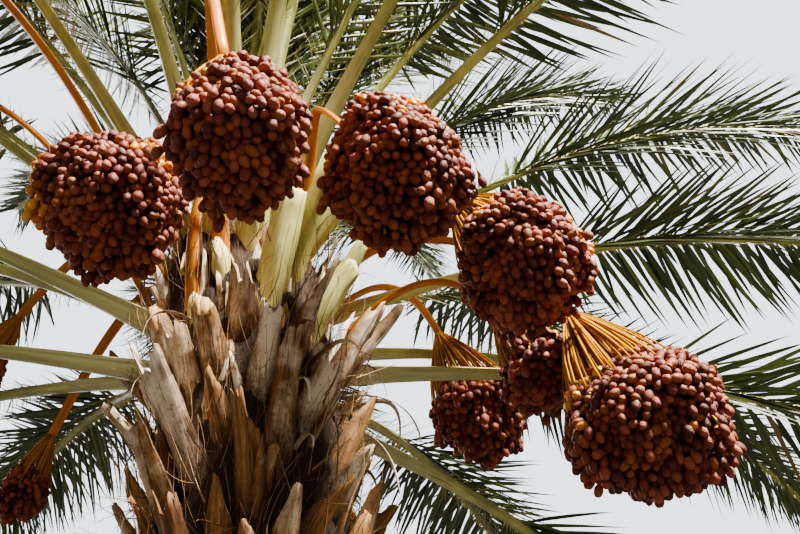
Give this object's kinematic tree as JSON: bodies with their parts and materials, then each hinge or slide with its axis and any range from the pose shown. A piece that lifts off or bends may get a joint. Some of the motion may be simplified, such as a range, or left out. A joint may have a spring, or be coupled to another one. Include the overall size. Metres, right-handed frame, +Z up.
{
  "type": "date palm tree",
  "caption": "Mature date palm with a leaning booted trunk, a full crown of arching feather fronds and hanging bunches of ripe dates on orange stalks.",
  "frame": {"origin": "middle of the flat cut under the trunk, at ground level", "axes": "+Z up; the trunk leans towards -X, and the picking side, where the lowest leaves are cut to stubs, faces -Y"},
  "size_m": [6.65, 5.8752, 6.7693],
  "materials": {
    "trunk": "dry, fibrous and matt, with grey-tan cut boots",
    "heart": "young pale green blades, slightly glossy",
    "fronds": "dusty grey-green blades with olive ribs",
    "stalks": "smooth waxy orange",
    "fruit": "red-brown dates with a dusty bloom"
  },
  "bodies": {
    "root": {"trunk": "trunk", "heart": "heart", "frond_01": "fronds", "frond_02": "fronds", "frond_03": "fronds", "frond_04": "fronds", "frond_05": "fronds", "frond_06": "fronds", "frond_07": "fronds", "frond_08": "fronds", "frond_09": "fronds", "frond_10": "fronds", "frond_11": "fronds", "frond_12": "fronds", "frond_13": "fronds", "frond_14": "fronds", "frond_15": "fronds", "frond_16": "fronds", "frond_17": "fronds", "frond_18": "fronds", "frond_19": "fronds", "frond_20": "fronds", "frond_21": "fronds", "frond_22": "fronds", "frond_23": "fronds", "frond_24": "fronds", "frond_25": "fronds", "frond_26": "fronds", "frond_27": "fronds", "frond_28": "fronds", "frond_29": "fronds", "frond_30": "fronds", "frond_31": "fronds", "stalk_01": "stalks", "stalk_02": "stalks", "stalk_03": "stalks", "stalk_04": "stalks", "stalk_05": "stalks", "stalk_06": "stalks", "stalk_07": "stalks", "stalk_08": "stalks", "stalk_09": "stalks", "stalk_10": "stalks", "stalk_11": "stalks", "stalk_12": "stalks", "stalk_13": "stalks", "bunch_01": "fruit", "bunch_02": "fruit", "bunch_03": "fruit", "bunch_04": "fruit", "bunch_05": "fruit", "bunch_06": "fruit", "bunch_07": "fruit", "bunch_08": "fruit", "bunch_09": "fruit", "bunch_10": "fruit", "bunch_11": "fruit", "bunch_12": "fruit", "bunch_13": "fruit"}
  },
  "joints": []
}
